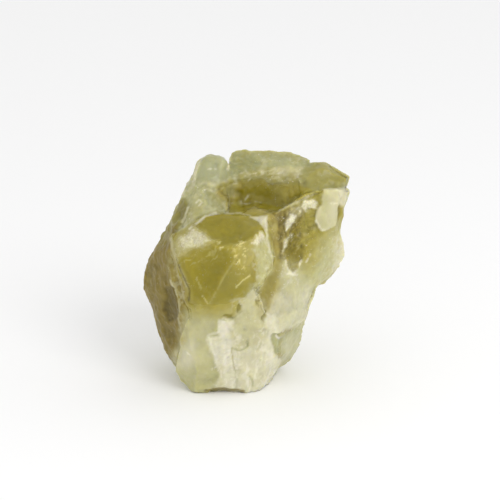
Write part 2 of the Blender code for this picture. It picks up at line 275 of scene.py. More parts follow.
def depth_inside(outline, places):
    """How far each place lies inside an outline, in squares; negative outside it."""
    ring = outline + outline[:1]
    within = np.zeros(len(places), bool)
    for (left, top), (right, bottom) in zip(ring[:-1], ring[1:]):
        if top != bottom:
            reach = left + (right - left) * (places[:, 1] - top) / (bottom - top)
            within ^= ((top > places[:, 1]) != (bottom > places[:, 1])) & (places[:, 0] < reach)
    return np.where(within, 1.0, -1.0) * distance_to(ring, places)


a_square = corners("200,200 300,200 300,300 200,300")
print("a place is", depth_inside(a_square, np.array([[220.0, 250.0]]))[0], "squares inside a test outline")

# %% [markdown]
# ## Grown together
# The plain solid is a pile of blocks, and where two of them meet it has a deep sharp crease. In the
# stone they are one, so most creases are shallow and some blocks run into each other with no edge at
# all. Creases are filled by moving only the points that lie below their neighbours, round after round.
# Where blocks run together, the skin is softened outright.

# %% fill the creases
FILL_ROUNDS = 40
BACK_ROUNDS = 80  # more of them on the back, where the blocks are only guessed at
FILL_PUSH = 1.6


def fill(places, rounds, share):
    """Lifts the places that lie below their neighbours, round after round."""
    for _ in range(rounds):
        sunk = np.maximum(((soften(places, 1) - places) * facing).sum(1), 0.0)
        places = places + facing * (FILL_PUSH * share * sunk)[:, None]
    return places


low, high = (np.array(corner) / MM for corner in plain_box)
facing = read_facing(6)
points = fill(read_points(), FILL_ROUNDS, 1.0)
squares = on_board(points)
seen = ease(0.0, 0.15, facing @ TOWARDS_EYE)
points = fill(points, BACK_ROUNDS, 1.0 - seen)
filled = np.linalg.norm(points - read_points(), axis=1)
print("creases filled by up to", round(float(filled.max()), 2), "mm")

# %% melt the joins
MELT_ROUNDS = 160
JOINS = {  # how much is melted, the width of the border in squares, and the outline
    "clear block into the left foot": (0.9, 8.0, "182,304 244,304 240,328 184,332"),
    "clear block into the groove": (0.8, 8.0, "254,258 282,250 288,280 274,322 240,330 232,300"),
    "wall into the right foot and lobe": (
        0.9, 8.0, "288,232 318,222 336,232 336,290 314,312 282,300 274,262"),
    "recess into the wall": (0.9, 7.0, "290,176 314,178 322,190 312,204 296,208"),
    "ridge into the recess": (
        0.85, 6.0, "214,176 240,166 300,164 322,176 316,204 296,190 262,186 236,190"),
    "dome into the slope": (0.9, 8.0, "180,184 228,178 232,204 180,216"),
    "dome": (0.6, 5.0, "199,161 222,161 228,180 196,186"),
    "plates": (0.45, 6.0, "212,318 268,306 310,326 296,372 258,400 206,400"),
}

melted = soften(points, MELT_ROUNDS)
for share, border, outline in JOINS.values():
    weight = share * seen * ease(-border, border, depth_inside(corners(outline), squares))
    points += (melted - points) * weight[:, None]
move_points(points)
print("joins melted:", len(JOINS))

# %% [markdown]
# ## No ruled lines
# The plain solid's edges are straight, and a broken stone has none. Noise shoves the skin a little to
# and fro, so that every edge wanders.

# %% let the edges wander
WANDER = ((5.0, 0.35, 1), (1.7, 0.16, 4))  # puff size in mm, shove in mm, seed

for size, shove, seed in WANDER:
    points += shove * np.stack([clouds(points, size, seed + axis, 2) for axis in range(3)], axis=1)
points = np.clip(points, low, high)
move_points(points)
print("shoved by up to about", sum(shove for _, shove, _ in WANDER), "mm")

# %% [markdown]
# ## Broken faces
# A blow splits calcite into flat faces, and most of them lean like the sides of a pushed-over box,
# which is called a rhomb. So the skin that is turned away from the board is first softened, to lose the
# plain solid's lips, and then chiselled: seeds are scattered through the stone, each takes the average
# plane of the skin around it, turned a little towards the nearest rhomb face, and every point is cut down
# to the lowest of the planes that reach it. Then plates are split off the skin that lies nearly along a
# rhomb face. Each plate is flat, and its sides are straight, because they follow the other two rhomb
# faces. Last, whatever still stands out as a thin lip is blunted, because a lip that thin would have
# snapped off.

# %% a chisel
RHOMB = np.array([[0.12, 0.97, 0.22], [-0.90, 0.41, -0.13], [-0.37, 0.11, 0.92]])
DEEPEST = 1.1  # mm that a cut may take off
TALLEST = 0.33  # mm that it may fill up
NEIGHBOURS = 4
SQUARE_TO_PLANE = 0.4  # a plane only cuts skin that faces its way at least this much


def cut_down(places, size, turned, seed):
    """How far each place moves along its facing to lie on the lowest plane that reaches it, and a number
    for each face."""
    owners, numbers = patches(places, size, seed, NEIGHBOURS)
    first = owners[:, 0]
    held = np.maximum(np.bincount(first, minlength=len(numbers)), 1)[:, None]
    middle, way = (np.stack([np.bincount(first, column, len(numbers)) for column in values.T], axis=1) / held
                   for values in (places, facing))
    along = way @ RHOMB.T
    best = np.abs(along).argmax(1)
    way += turned * np.sign(along[np.arange(len(best)), best])[:, None] * RHOMB[best]
    way /= np.maximum(np.linalg.norm(way, axis=1, keepdims=True), 0.1)
    lowest = np.full(len(places), np.inf)
    for owner in owners.T:
        slant = (facing * way[owner]).sum(1)
        drop = ((middle[owner] - places) * way[owner]).sum(1) / np.maximum(slant, 0.5)
        falls_away = ((middle[owner] - middle[first]) * way[first]).sum(1) <= 0.0
        lowest = np.where((slant > SQUARE_TO_PLANE) & falls_away, np.minimum(lowest, drop), lowest)
    lowest[np.isinf(lowest)] = 0.0
    return np.clip(lowest, -DEEPEST, TALLEST), numbers[first]


print("rhomb faces lean by", np.degrees(np.arccos(np.abs(RHOMB[:, 2]))).round(0), "degrees")

# %% chisel the faces
CUTS = (  # size in mm, how much is softened first, how deep, how turned, seed
    (9.0, 0.85, 0.9, 0.40, 71),
    (5.5, 0.0, 0.35, 0.25, 72),
)
ROUGH_ROUNDS = 120
for size, softened, depth, turned, seed in CUTS:
    facing = read_facing(8)
    hidden = 1.0 - ease(-0.75, -0.40, soften(facing, 30) @ TOWARDS_EYE)
    hidden *= ease(0.2, 2.0, points[:, 2])  # the foot stays as it is
    points += (soften(points, ROUGH_ROUNDS) - points) * (softened * hidden)[:, None]
    drop, face = cut_down(points, size, turned, seed)
    drop = soften(drop, 4)
    points = np.clip(points + facing * (depth * hidden * drop)[:, None], low, high)
    move_points(points)
print("cut by up to", round(float(-drop.min()), 2), "mm")

# %% a wedge for plates
PLATE_WIDTHS = (1.6, 6.5)  # mm
PLATE_STEP = 0.7  # mm from one floor to the next
THICKEST = 1.4  # mm
BANDS = 80  # enough to cross the stone
FLOOR_SHARE = 0.2  # a plate's floor is as low as the lowest fifth of its skin
TALLEST_FILL = 0.3  # mm


def band_of(values, seed):
    """The number of the band each value falls in, for bands of uneven width."""
    widths = np.random.default_rng(seed).uniform(*PLATE_WIDTHS, BANDS)
    return np.searchsorted(values.min() - 0.1 + np.cumsum(widths), values)


def split_off(places, way, sides, seed):
    """How far each place moves along the way, in mm, to lie on its own plate's flat floor."""
    column = band_of(places @ sides[0], seed)
    shift = np.random.default_rng(seed + 1).uniform(0.0, PLATE_WIDTHS[1], BANDS + 1)[column]
    plate = column * (BANDS + 1) + band_of(places @ sides[1] + shift, seed + 2)
    climb = places @ way
    order = np.lexsort((climb, plate))
    _, first, number, held = np.unique(
        plate[order], return_index=True, return_inverse=True, return_counts=True)
    floor = climb[order][first + (FLOOR_SHARE * held).astype(int)][number]
    move = np.empty(len(places))
    move[order] = np.floor(floor / PLATE_STEP) * PLATE_STEP - climb[order]
    return np.clip(move, -THICKEST, TALLEST_FILL)


print("plates are", PLATE_WIDTHS[0], "to", PLATE_WIDTHS[1], "mm wide and up to", THICKEST, "mm thick")

# %% split off plates
for number, way in enumerate(RHOMB):
    for side in (1.0, -1.0):
        turned = read_facing(12) @ (side * way)
        chosen = np.flatnonzero(turned > 0.6)
        sound = ease(-0.25, -0.15, clouds(points[chosen], 13.0, 60 + number, 2))
        move = split_off(points[chosen], side * way, np.delete(RHOMB, number, axis=0), 63 + 3 * number)
        weight = np.zeros(COUNT)
        weight[chosen] = hidden[chosen] * ease(0.72, 0.86, turned[chosen]) * sound * move
        points += (soften(weight, 2) * side)[:, None] * way
        points = np.clip(points, low, high)
        move_points(points)

along_rhomb = np.abs(read_facing(2) @ RHOMB.T).max(1) > 0.95
print("skin along a rhomb face:", round(float(along_rhomb.mean()), 2))

# %% blunt the lips
BLUNT_PASSES = 2
LIP_HEIGHTS = (0.06, 0.20)  # mm proud, where blunting starts and where it is full


def blunt(places, share):
    """Rounds off whatever stands out more than about a tenth of a millimetre."""
    proud = share * soften(ease(*LIP_HEIGHTS, standing_out(places, 8)), 2)
    return places + (soften(places, 12) - places) * proud[:, None]


turned_away = 1.0 - ease(-0.4, -0.1, read_facing(6) @ TOWARDS_EYE)
for _ in range(BLUNT_PASSES):
    points = blunt(points, turned_away)
    move_points(points)
facing = read_facing(3)
edges = standing_out(points, 4)
squares = on_board(points)
seen = ease(-0.40, -0.10, read_facing(6) @ TOWARDS_EYE)
square_on = ease(0.05, 0.35, read_facing(6) @ TOWARDS_EYE)
print("sharpest edge stands", round(float(edges.max()), 2), "mm proud")
print("skin that faces the board:", round(float(seen.mean()), 2))

# %% [markdown]
# ## Tools for staining
# A stain colours all the skin inside an outline. It also says how glassy and how broken the skin is
# there, and how far it stands proud or sunk. A wisp is a bundle of soft streaks inside an outline, a
# vein is a broken line that may be cut in as a crack, and glitter is where tiny flakes catch the light.
# Every border is frayed by noise of several sizes, because no border in a stone is a ruled line. Each
# mark has a name, and later marks lie over earlier ones.

# %% tones
TONES = {
    "bottle": (0.245, 0.198, 0.010),
    "deep olive": (0.335, 0.276, 0.008),
    "dark olive": (0.262, 0.232, 0.036),
    "olive": (0.335, 0.286, 0.036),
    "bright olive": (0.445, 0.376, 0.066),
    "honey": (0.420, 0.340, 0.018),
    "moss": (0.335, 0.330, 0.138),
    "khaki": (0.390, 0.328, 0.078),
    "brown khaki": (0.300, 0.235, 0.036),
    "sage": (0.395, 0.390, 0.190),
    "grey green": (0.455, 0.465, 0.275),
    "pale green": (0.510, 0.490, 0.245),
    "straw": (0.570, 0.538, 0.322),
    "cream": (0.662, 0.634, 0.465),
    "white": (0.765, 0.735, 0.600),
    # the colour of painted glints, on flakes and scratches inside the stone that catch the light
    "glint gold": (0.930, 0.850, 0.400),
    "slab brown": (0.225, 0.168, 0.024),
    "bark": (0.145, 0.108, 0.012),
}
print("tones:", ", ".join(TONES))

# %% the layers that marks change
FRAY = 2.6  # squares
WRAP = 4.0  # squares that a stain's fray can reach past its outline
WISP_BORDER = 3.0  # squares
ramble = np.stack([clouds(points, 3.6, 16, 4), clouds(points, 3.6, 17, 4)], axis=1)
speckle = clouds(points, 1.6, 18, 2)
tone = np.tile(TONES["sage"], (COUNT, 1))
glassy = np.full(COUNT, 0.4)
broken = np.full(COUNT, 0.6)
frost = np.zeros(COUNT)
glitter = np.zeros(COUNT)
lift = np.zeros(COUNT)
print("borders fray by up to", round(float(FRAY * np.abs(ramble).max()), 1), "squares")

# %% where a mark falls
drawn = {}  # the marks of one place, and how many points each can reach


def near(name, path, reach):
    """The numbers of the points that face the board no more than reach squares from the path's frame."""
    framed = (squares > np.min(path, 0) - reach) & (squares < np.max(path, 0) + reach)
    chosen = np.flatnonzero(framed.all(axis=1) & (seen > 0.0))
    drawn[name] = len(chosen)
    return chosen


def area(name, outline, border, fray=FRAY):
    """Points in or near the outline, and how much they are inside, with a border of so many squares."""
    outline = corners(outline)
    chosen = near(name, outline, border + fray * WRAP)
    inside = depth_inside(outline, squares[chosen] + fray * ramble[chosen])
    return chosen, seen[chosen] * ease(-border, border, inside)


def coat(under, where, value):
    """Moves what lies under towards the value, by the weight that goes with each chosen point."""
    chosen, weight = where
    weight = weight[:, None] if under.ndim > 1 else weight
    under[chosen] += (np.asarray(value) - under[chosen]) * weight


def tally(place):
    """Prints how many marks a place got, and which one reaches the most points of the skin."""
    widest = max(drawn, key=drawn.get)
    print(f"{place}: {len(drawn)} marks, the widest is the {widest}, with {drawn[widest]} points in reach")
    drawn.clear()


# %% push and stain
def push(name, outline, amount, border=8.0):
    """Pushes the skin out by so many mm, or in if the amount is negative."""
    chosen, inside = area(name, outline, border)
    lift[chosen] += amount * inside


def stain(name, colour, outline, border=4.0, strength=1.0, shine=None, breaks=None, white=0.0, glints=None,
          proud=0.0, fray=FRAY):
    chosen, inside = area(name, outline, border, fray)
    for layer, value in ((tone, TONES[colour]), (glassy, shine), (broken, breaks), (frost, white),
                         (glitter, glints)):
        if value is not None:
            coat(layer, (chosen, strength * inside), value)
    if proud:
        chosen, inside = area(name, outline, 1.0, fray)
        lift[chosen] += proud * square_on[chosen] * inside


# %% wisps and vein
def wisps(name, colour, outline, slant, length, width, share, strength, seed, blur=0.5):
    """Streaks at slant degrees from the level, in squares; share is how much of the outline they cover."""
    chosen, inside = area(name, outline, WISP_BORDER)
    turn = math.radians(slant)
    along = squares[chosen] @ (math.cos(turn), math.sin(turn)) / length
    across = squares[chosen] @ (-math.sin(turn), math.cos(turn)) / width + 2.0 * ramble[chosen, 0]
    streaks = clouds(np.stack([along, across, points[chosen, 1] * 0.1], axis=1), 1.0, seed, 2)
    edge = np.quantile(streaks[inside > 0.3], 1.0 - share)
    weight = inside * strength * ease(edge - 0.5 * blur, edge + 0.5 * blur, streaks)
    coat(tone, (chosen, weight), TONES[colour])


def vein(name, colour, path, width, strength=0.6, groove=0.0, whole=0.8, wobble=1.0):
    """A line on the board, cut groove mm deep; whole is how little of it is broken off."""
    path = corners(path)
    chosen = near(name, path, width + WRAP)
    strayed = distance_to(path, squares[chosen] + wobble * ramble[chosen])
    weight = seen[chosen] * ease(width, 0.3 * width, strayed)
    weight *= strength * ease(-0.2 - whole, 0.4 - whole, speckle[chosen])
    coat(tone, (chosen, weight), TONES[colour])
    lift[chosen] -= groove * square_on[chosen] * weight


# %% [markdown]
# ## The whole lump
# First the whole lump gets a coat from noise alone, which is all that its back and sides have: clouds of
# milk and olive, a few khaki bands, and clear pools where the stone is sound.

# %% first coat
HAIR_SPACING = 2.1  # mm
everywhere = np.arange(COUNT)
clear = ease(-0.05, 0.35, clouds(points, 15.0, 1, 3))
milky = ease(-0.05, 0.40, clouds(points, 12.0, 2, 3)) * (1.0 - 0.8 * clear)
brown = ease(0.20, 0.60, clouds(points, 9.0, 5, 3, stretch=(0.6, 0.6, 2.0)))
veils = ease(-0.1, 0.5, clouds(points @ RHOMB.T, 3.2, 6, 3, stretch=(0.5, 1.0, 3.0)))
hairs = np.zeros(COUNT)
for number, way in enumerate(RHOMB):
    climb = points @ way / HAIR_SPACING + 0.15 * clouds(points, 9.0, 8 + number, 2)
    thin = ease(0.08, 0.03, np.abs(climb - np.round(climb)))
    hairs = np.maximum(hairs, thin * ease(0.15, 0.35, clouds(points, 7.0, 12 + number, 2)))
for colour, weight in (("cream", 0.75 * milky), ("straw", 0.3 * veils), ("olive", 0.75 * clear),
                       ("dark olive", 0.5 * clear * (1.0 - veils)), ("brown khaki", 0.35 * brown),
                       ("cream", 0.3 * hairs)):
    coat(tone, (everywhere, weight), TONES[colour])
glassy[:] = 0.40 + 0.35 * clear + 0.40 * (face - 0.5)  # each broken face has a gloss of its own
broken[:] = 0.60 - 0.30 * clear + 0.20 * milky
frost[:] = 0.2 * milky
glitter[:] = 0.5
print("clear stone covers", round(float((clear > 0.5).mean()), 2))

# %% [markdown]
# ## The left side
# The left face turns away from the light, and its dark brown-grey is partly the stone's own colour and
# partly painted shade. It is a rough slab with streaks that run up and down, a hollow darkened with
# painted shade, and a khaki lip where it meets the clear block in front.

# %% stain the left side
SLAB = ("136,282 141,256 160,232 171,226 171,245 169,262 171,280 176,296 182,318 184,340 180,372 156,352 "
        "140,305")
LIP = "170,236 176,260 186,283 191,300 190,330 183,352 180,340 180,320 176,298 171,280 169,258"
# painted shade: slab brown here is the stone's own brown, darkened for the face turned from the light
stain("slab", "slab brown", SLAB, border=2.0, shine=0.35, breaks=0.35, glints=0.15)
wisps("broad streaks", "brown khaki", SLAB, slant=80, length=40, width=12.0, share=0.25, strength=0.4,
      seed=31, blur=0.8)
wisps("dark streaks", "bark", SLAB, slant=84, length=34, width=9.0, share=0.3, strength=0.5, seed=32,
      blur=0.8)
# painted shade: bark darkens the sunk hollow, most of all at its bottom
stain("hollow", "bark", "165,287 172,285 178,300 178,318 170,324 163,312", border=5.0, proud=-0.5)
stain("bottom of the hollow", "bark", "163,308 172,306 173,320 166,323", strength=0.8)
stain("lip", "brown khaki", LIP, border=1.5, strength=0.85, shine=0.4, breaks=0.5, glints=0.3)
wisps("dark lip streaks", "slab brown", LIP, slant=82, length=18, width=3.0, share=0.3, strength=0.6,
      seed=36)
wisps("pale lip streaks", "straw", LIP, slant=80, length=24, width=3.0, share=0.2, strength=0.45, seed=33)
vein("bruise above the lip", "straw", "171,281 174,290 177,297", width=1.6, strength=0.7)
vein("bruise along the lip", "straw", "180,300 178,314 180,330", width=2.2, strength=0.5, whole=0.5)
tally("left side")

# %% [markdown]
# ## The left slope and the dome
# Above the clear block, the stone is milky: a rounded dome that light shines through, and a slope with
# an arched rim. Chips along their edges have turned white.

# %% stain the slope and the dome
SLOPE = "180,208 184,186 192,178 206,180 224,184 229,197 229,214 212,214 198,221 186,228 178,231"
DOME = "188,184 192,165 203,152 214,148 230,157 232,178 216,184 200,185"
stain("slope", "sage", SLOPE, shine=0.5, breaks=0.4, glints=0.4)
stain("dome", "sage", DOME, shine=0.65, breaks=0.05, glints=0.1)
stain("dome's shade", "moss", "197,170 206,160 220,163 223,177 208,182", border=7.0, strength=0.15)
stain("dome's heart", "grey green", "194,178 198,164 208,156 222,158 228,172 218,182", border=6.0,
      strength=0.6)
stain("light below the dome", "pale green", "186,190 200,184 222,186 220,192 202,190 188,200",
      strength=0.55)
stain("field inside the arch", "pale green", "192,194 202,190 211,195 214,207 205,213 194,212 189,203",
      strength=0.45)
# painted shade: moss darkens the sunk scoop
stain("scoop", "moss", "204,192 217,191 226,199 226,209 214,208 205,202", strength=0.7, shine=0.7,
      breaks=0.2, proud=-0.2)
stain("scoop's clear floor", "olive", "207,194 218,193 226,200 225,208 215,206", strength=0.35)
stain("clear hollow", "olive", "182,214 192,206 203,204 204,212 190,226", strength=0.5, shine=0.6,
      breaks=0.3)
wisps("slope streaks", "straw", SLOPE, slant=130, length=12, width=3.5, share=0.3, strength=0.45, seed=41)
stain("frosted arch", "straw", "186,221 196,204 207,200 217,206 206,212 203,208 192,222", border=3.0,
      strength=0.3, shine=0.1, breaks=0.9, white=0.08, glints=0.9)
stain("frost at the arch's foot", "straw", "202,212 206,206 212,206 214,211 207,216", border=3.0,
      strength=0.3, white=0.3)
vein("arch's upper rim", "straw", "187,190 192,184 200,182 212,184 222,188", width=2.4, whole=0.5)
stain("shade under the arch", "moss", "186,218 196,202 210,198 218,206 206,214 194,222", border=5.0,
      strength=0.4)
vein("shade under the rim", "moss", "190,195 195,189 204,187 214,189", width=2.4, whole=0.5)
vein("scoop's rim", "straw", "204,188 216,193 224,203 227,210", width=1.6, strength=0.5, whole=0.5)
vein("scoop's bright edge", "cream", "225,196 229,204 229,211", width=1.6, strength=0.7)
tally("slope and dome")

# %% the dark edge, the chips and the shoulders
stain("dark edge", "dark olive", "148,248 164,244 172,236 181,226 188,211 190,204 186,198 177,199 164,214 "
      "152,232", border=2.5, strength=0.85, shine=0.5, breaks=0.4)
wisps("edge streaks", "bark", "156,240 170,214 180,200 188,202 183,220 170,238", slant=115, length=22,
      width=4.0, share=0.3, strength=0.45, seed=34)
stain("edge's foot", "slab brown", "144,264 152,244 166,230 176,222 175,236 168,250 158,264", strength=0.6)
vein("line on the edge", "straw", "181,221 184,213 188,206", width=1.8, strength=0.8)
stain("dome's white chips", "straw", "189,182 193,168 199,160 203,160 199,168 195,182", border=2.0,
      strength=0.7, shine=0.0, breaks=1.0, white=0.55, fray=3.5)
stain("chip in the notch", "straw", "226,160 231,158 230,171 227,170", border=1.4, strength=0.8, shine=0.0,
      breaks=1.0, white=0.85)
vein("left glint", "cream", "209,169 211,169", width=1.3, strength=0.8, whole=0.9)
vein("right glint", "cream", "214,169 216,169", width=1.1, strength=0.8, whole=0.9)
vein("ring flaw", "cream", "196,203 199,200 202,203 199,206", width=1.3, strength=0.7)
push("left shoulder", "186,150 204,148 200,190 184,236 160,248 148,244 170,196", -0.6)
push("right shoulder", "217,150 226,152 226,166 218,166", 0.6, border=4.0)
tally("edge, chips and shoulders")

# %% [markdown]
# ## The ridge and the recess
# A grey-green ridge runs along the top, with a pale bruised band below it, and drops into a dark olive
# recess. Its walls are clear, so they look deep, and its deepest part is darkened further with painted
# shade.

# %% stain the ridge and its band
RIDGE = "229,186 230,142 258,144 288,142 304,150 314,161 305,184 280,184 262,178 243,182"
BAND = "234,176 262,168 302,168 305,180 282,183 262,177 243,179"
stain("ridge", "moss", RIDGE, border=3.0, shine=0.6, breaks=0.2, glints=0.3)
stain("milky middle", "sage", "256,152 280,146 300,156 303,168 282,169 262,166", border=5.0, shine=0.5)
stain("crest", "sage", "228,146 260,146 290,144 312,158 290,153 262,154 232,154", border=3.0, strength=0.6)
wisps("level streaks", "straw", RIDGE, slant=8, length=16, width=4.0, share=0.15, strength=0.35, seed=51)
wisps("upright streaks", "olive", RIDGE, slant=70, length=14, width=4.0, share=0.2, strength=0.35, seed=54)
stain("bruised band", "khaki", BAND, border=3.0, strength=0.5, shine=0.3, breaks=0.7, white=0.25,
      glints=0.9)
stain("band's pale end", "straw", "268,170 286,167 304,168 300,176 282,176", border=2.5, strength=0.55)
wisps("band streaks", "straw", BAND, slant=4, length=9, width=1.8, share=0.35, strength=0.55, seed=52)
tally("ridge")

# %% stain the recess
RECESS = ("218,186 232,182 243,180 262,179 280,184 300,184 312,190 311,198 301,201 290,206 278,212 268,212 "
          "255,208 242,215 229,213 227,198 218,194")
stain("recess", "olive", RECESS, shine=0.75, breaks=0.25, glints=0.2)
# painted shade: bottle darkens the deepest part of the recess
stain("shaded deep end", "bottle", "243,190 256,184 270,190 286,198 284,208 270,211 258,207 246,212", border=6.0,
      strength=0.55, shine=0.75)
stain("right wall", "olive", "292,180 312,184 318,192 308,200 296,204 290,198", border=6.0, shine=0.65,
      breaks=0.2)
stain("glow at the right", "bright olive", "278,188 286,184 302,184 306,192 298,199 286,199", border=5.0,
      strength=0.9)
stain("lighter pool", "olive", "250,188 262,186 262,198 250,200", border=5.0, strength=0.6)
stain("left wall", "khaki", "218,187 222,182 240,181 238,198 230,206 219,194", strength=0.9)
stain("milky patch", "sage", "222,186 236,183 234,194 227,198", strength=0.5)
vein("shadow under the ridge", "dark olive", "219,188 228,184 240,180 252,180", width=2.2)
vein("crack at the left", "bark", "219,190 227,197 230,204 229,213", width=1.8, strength=0.45, whole=0.7)
vein("dark seam", "bottle", "243,184 241,196 245,212", width=2.4, strength=0.7)
vein("shadow under the band", "bark", "268,184 288,183", width=1.6, strength=0.4, whole=0.7)
push("filled end", "284,184 302,182 310,190 304,198 290,202", 0.9, border=7.0)
vein("shadow behind the rim", "bark", "244,212 256,208 270,212 279,211", width=1.8, strength=0.5, whole=0.7)
wisps("dark veils", "bottle", RECESS, slant=78, length=14, width=4.5, share=0.2, strength=0.35, seed=53)
stain("front rim", "khaki", "229,215 242,215 255,209 268,213 277,213 275,221 250,217 228,217", border=1.8,
      shine=0.5, breaks=0.4)
vein("near glint", "straw", "245,200 248,196", width=1.1, strength=0.7, whole=0.9, wobble=0.2)
vein("far glint", "straw", "248,181 250,179", width=1.1, strength=0.7, whole=0.9, wobble=0.2)
wisps("band sparkle", "cream", "232,168 262,170 300,173 302,179 262,176 233,174", slant=3, length=4,
      width=2.2, share=0.1, strength=0.45, seed=56, blur=0.3)
wisps("ridge sparkle", "cream", "284,154 300,156 310,163 303,167 290,160", slant=30, length=4, width=2.5,
      share=0.15, strength=0.35, seed=57, blur=0.3)
tally("recess")

# %% [markdown]
# ## The right wall
# The right-hand side is the most broken part: a clear mossy knob on top, then brown splintered stone
# with white bruises, and one clean cleavage face, which is the natural flat break of calcite.

# %% stain the right wall and the knob
KNOB = "302,182 306,164 314,156 327,154 358,174 354,188 341,191 323,190 312,190"
WALL = "284,214 300,203 314,194 322,188 349,190 348,210 341,234 324,258 304,280 286,276"
stain("wall", "olive", WALL, shine=0.55, breaks=0.4, glints=0.3)
stain("knob", "moss", KNOB, border=3.0, shine=0.65, breaks=0.1, glints=0.1)
stain("yellow light", "bright olive", "302,182 306,167 322,158 344,166 354,178 340,190 322,191 308,192",
      border=6.0, strength=0.35)
stain("clear middle", "olive", "306,170 322,160 344,168 352,180 330,190 312,188", border=7.0, strength=0.35)
wisps("knob veils", "dark olive", KNOB, slant=25, length=16, width=5.0, share=0.25, strength=0.25, seed=61)
wisps("wall veils", "bright olive", WALL, slant=105, length=18, width=6.0, share=0.25, strength=0.5,
      seed=62)
tally("wall and knob")

# %% its splinters and grains
SPLINTERS = "273,214 287,210 302,204 302,262 291,274 280,260 273,250"
stain("splinters", "slab brown", SPLINTERS, border=3.0, strength=0.9, shine=0.3, breaks=1.0, glints=0.7)
stain("dark blade", "bottle", "286,230 300,229 304,250 298,266 291,274 287,256", border=3.5, strength=0.8,
      shine=0.6, breaks=0.9, proud=-0.2)
stain("blade's edge", "bottle", "285,236 302,230 304,248 298,260 292,273 288,262", border=1.6, strength=0.6,
      fray=1.6)
wisps("khaki splinters", "khaki", SPLINTERS, slant=98, length=9, width=3.0, share=0.3, strength=0.6,
      seed=63)
wisps("bark splinters", "bark", SPLINTERS, slant=85, length=9, width=2.2, share=0.4, strength=0.8, seed=64,
      blur=0.3)
wisps("straw splinters", "straw", SPLINTERS, slant=80, length=6, width=2.4, share=0.06, strength=0.5,
      seed=65, blur=0.3)
GRAINY = "298,214 318,204 322,224 314,244 302,262 296,240"
stain("grainy wall", "dark olive", GRAINY, border=6.0, strength=0.4, shine=0.5, breaks=0.9, glints=0.5)
wisps("dark grains", "bark", GRAINY, slant=100, length=7, width=3.0, share=0.2, strength=0.45, seed=67,
      blur=0.3)
wisps("light grains", "khaki", GRAINY, slant=70, length=6, width=2.6, share=0.2, strength=0.5, seed=68,
      blur=0.3)
tally("splinters")

# %% its bruises and the cleavage face
stain("bruise along the top", "straw", "286,213 300,202 311,197 314,203 302,211 295,222 289,226",
      border=3.0, strength=0.35, shine=0.2, breaks=1.0, white=0.2)
wisps("bruise streaks", "cream", "288,214 300,202 314,196 316,212 300,214 292,228", slant=-50, length=6,
      width=2.5, share=0.15, strength=0.5, seed=66, blur=0.4)
stain("large white chip", "straw", "300,206 302,202 306,199 309,201 312,198 316,201 315,210 308,207 "
      "304,211", border=1.4, strength=0.85, shine=0.0, breaks=1.0, white=0.55, proud=0.2)
stain("small white chip", "cream", "285,223 290,215 295,217 292,226 286,231", border=1.6, strength=0.85,
      shine=0.0, breaks=1.0, white=0.55, proud=0.2, fray=1.6)
stain("lowest white chip", "straw", "281,253 284,240 291,235 289,247", border=2.0, strength=0.8, shine=0.0,
      breaks=0.9, white=0.55)
stain("bruised end", "cream", "337,190 352,186 352,204 342,208 339,200", border=2.5, strength=0.8,
      shine=0.2)
stain("cleavage face", "straw", "323,190 338,191 340,200 337,215 335,226 328,229 320,231 315,222 316,212 "
      "321,203", border=0.9, shine=0.45, breaks=0.05, glints=0.15, proud=0.3, fray=2.2)
stain("cleavage light", "cream", "328,194 339,192 338,212 332,222 324,214", strength=0.2)
stain("cleavage green", "pale green", "321,196 328,194 326,226 319,228", strength=0.65)
# painted highlight: a straw line where the top of the wall catches the light
vein("lit top edge", "straw", "278,211 290,206 302,200 312,195", width=1.3, whole=0.7)
vein("cleavage glint", "white", "330,203 337,203", width=1.2, whole=0.5)
vein("cleavage edge", "white", "316,220 320,230 328,229", width=1.3, whole=0.5)
vein("cleavage shadow", "bark", "340,206 338,216 336,226", width=2.2, strength=0.45)
push("far side of the knob", "326,158 356,168 358,212 342,212 344,182 330,170", -1.0)
tally("bruises and cleavage face")

# %% [markdown]
# ## The right lobe
# Below the wall a milky lobe bulges out. Its outer edge is so thin that light shines through it, and
# that glow is painted in cream, with a little frost.

# %% stain the right lobe
LOBE = "316,246 328,232 342,222 351,244 350,264 340,286 320,288 304,298 300,272"
stain("lobe", "pale green", LOBE, border=8.0, strength=0.8, shine=0.5, breaks=0.2, glints=0.3)
stain("olive side", "bright olive", "302,240 316,232 320,250 308,280 300,276", border=6.0, strength=0.5)
# painted glow: cream where light shines through the thin edge, with a little frost
stain("thin edge", "cream", "336,238 352,234 350,266 340,288 328,286 334,262", border=6.0, strength=0.75,
      shine=0.3, breaks=0.3, white=0.15)
wisps("lobe veils", "khaki", LOBE, slant=110, length=18, width=5.0, share=0.3, strength=0.3, seed=71)
vein("white nick", "white", "306,262 310,254", width=1.2, strength=0.7, whole=0.5)
push("lower end", "334,268 352,258 350,290 330,288", -0.5, border=5.0)
tally("right lobe")

# %% [markdown]
# ## The clear block
# The pride of the piece is the glassy block in front. Its top and sides are clear olive, one corner is
# bruised to white frost, its edges carry painted highlights, and fine scratches and trapped flaws inside
# it carry painted glints.

